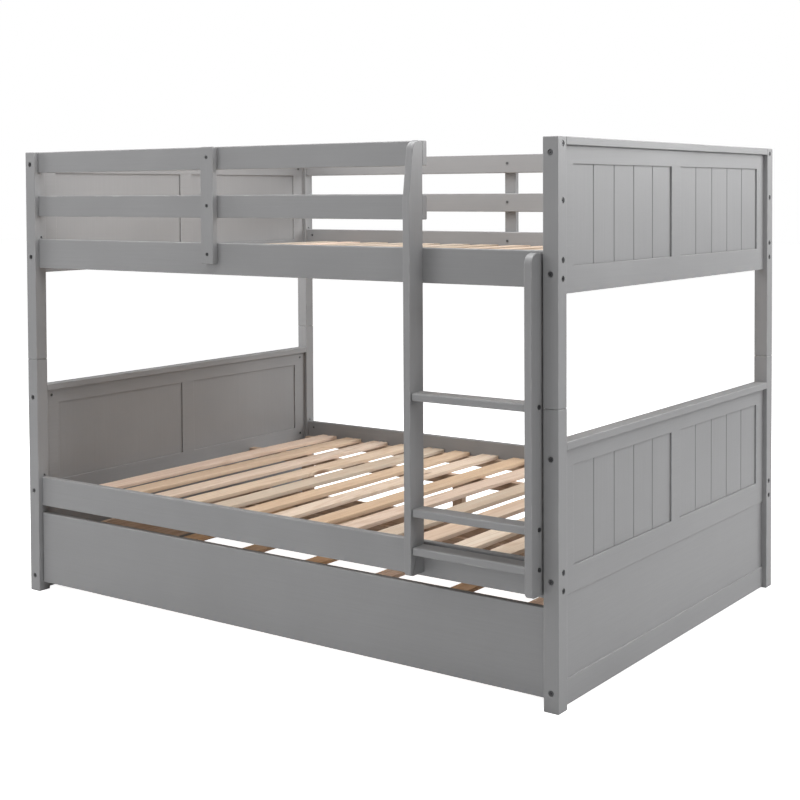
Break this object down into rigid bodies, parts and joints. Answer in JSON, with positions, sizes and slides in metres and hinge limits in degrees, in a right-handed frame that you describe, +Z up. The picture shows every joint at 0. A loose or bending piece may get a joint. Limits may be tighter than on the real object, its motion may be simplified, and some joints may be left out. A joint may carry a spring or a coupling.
{
  "type": "bunk bed with ladder",
  "caption": "Full-over-full wooden bunk bed with grooved end panels, guard rails, an upright front ladder, slatted bases and a roll-out trundle bed underneath.",
  "frame": {"origin": "on the floor, under the centre of the overall length and depth", "axes": "+X along the bed, towards the ladder's end; the ladder and the trundle's front face -Y; +Z up"},
  "size_m": [2.04, 1.524, 1.48],
  "materials": {
    "painted_wood": "satin grey paint",
    "slat_pine": "raw planed pine",
    "trundle_slat": "raw planed pine",
    "bearer_wood": "planed softwood",
    "bolt_steel": "black oxide",
    "caster_steel": "zinc plated",
    "wheel_plastic": "moulded"
  },
  "bodies": {
    "lower_bed": {"post_lower_front_left": "painted_wood", "post_lower_front_right": "painted_wood", "post_lower_back_left": "painted_wood", "post_lower_back_right": "painted_wood", "lower_cap_left": "painted_wood", "lower_cap_right": "painted_wood", "lower_frame_left": "painted_wood", "lower_frame_right": "painted_wood", "lower_boards_left": "painted_wood", "lower_boards_right": "painted_wood", "skirt_left": "painted_wood", "skirt_right": "painted_wood", "lower_rail_front": "painted_wood", "lower_rail_back": "painted_wood", "lower_bearers": "bearer_wood", "lower_slats": "slat_pine", "lower_legs": "bearer_wood", "post_pins": "bolt_steel", "lower_bolts": "bolt_steel"},
    "upper_bed": {"post_upper_front_left": "painted_wood", "post_upper_front_right": "painted_wood", "post_upper_back_left": "painted_wood", "post_upper_back_right": "painted_wood", "upper_cap_left": "painted_wood", "upper_cap_right": "painted_wood", "upper_frame_left": "painted_wood", "upper_frame_right": "painted_wood", "upper_boards_left": "painted_wood", "upper_boards_right": "painted_wood", "upper_rail_front": "painted_wood", "upper_rail_back": "painted_wood", "upper_bearers": "bearer_wood", "upper_slats": "slat_pine", "guard_top_front": "painted_wood", "guard_mid_front": "painted_wood", "guard_top_back": "painted_wood", "guard_mid_back": "painted_wood", "guard_stile_front": "painted_wood", "guard_stile_back": "painted_wood", "ladder_stile_left": "painted_wood", "ladder_stile_right": "painted_wood", "ladder_rung_low": "painted_wood", "ladder_rung_mid": "painted_wood", "ladder_rung_high": "painted_wood", "upper_bolts": "bolt_steel", "guard_stile_bolts": "bolt_steel", "ladder_bolts": "bolt_steel"},
    "trundle": {"trundle_front": "painted_wood", "trundle_back": "bearer_wood", "trundle_side_left": "bearer_wood", "trundle_side_right": "bearer_wood", "trundle_bearers": "bearer_wood", "trundle_slats": "trundle_slat", "caster_forks": "caster_steel", "caster_axles": "caster_steel"},
    "wheel_front_left": {"wheel_front_left": "wheel_plastic"},
    "wheel_front_right": {"wheel_front_right": "wheel_plastic"},
    "wheel_back_left": {"wheel_back_left": "wheel_plastic"},
    "wheel_back_right": {"wheel_back_right": "wheel_plastic"}
  },
  "joints": [
    {"name": "upper_bed_lift", "type": "slide", "parent": "lower_bed", "child": "upper_bed", "axis": [0, 0, 1], "range_m": [0, 0.06]},
    {"name": "trundle_roll", "type": "slide", "parent": "lower_bed", "child": "trundle", "axis": [0, -1, 0], "range_m": [0, 1]},
    {"name": "wheel_front_left_spin", "type": "hinge", "parent": "trundle", "child": "wheel_front_left", "pos_m": [-0.924, -0.603, 0.025], "axis": [1, 0, 0], "continuous": true},
    {"name": "wheel_front_right_spin", "type": "hinge", "parent": "trundle", "child": "wheel_front_right", "pos_m": [0.924, -0.603, 0.025], "axis": [1, 0, 0], "continuous": true},
    {"name": "wheel_back_left_spin", "type": "hinge", "parent": "trundle", "child": "wheel_back_left", "pos_m": [-0.924, 0.225, 0.025], "axis": [1, 0, 0], "continuous": true},
    {"name": "wheel_back_right_spin", "type": "hinge", "parent": "trundle", "child": "wheel_back_right", "pos_m": [0.924, 0.225, 0.025], "axis": [1, 0, 0], "continuous": true}
  ],
  "couplings": [
    {"joint": "wheel_front_left_spin", "follows": "trundle_roll", "rad_per_m": 40},
    {"joint": "wheel_front_right_spin", "follows": "trundle_roll", "rad_per_m": 40},
    {"joint": "wheel_back_left_spin", "follows": "trundle_roll", "rad_per_m": 40},
    {"joint": "wheel_back_right_spin", "follows": "trundle_roll", "rad_per_m": 40}
  ]
}
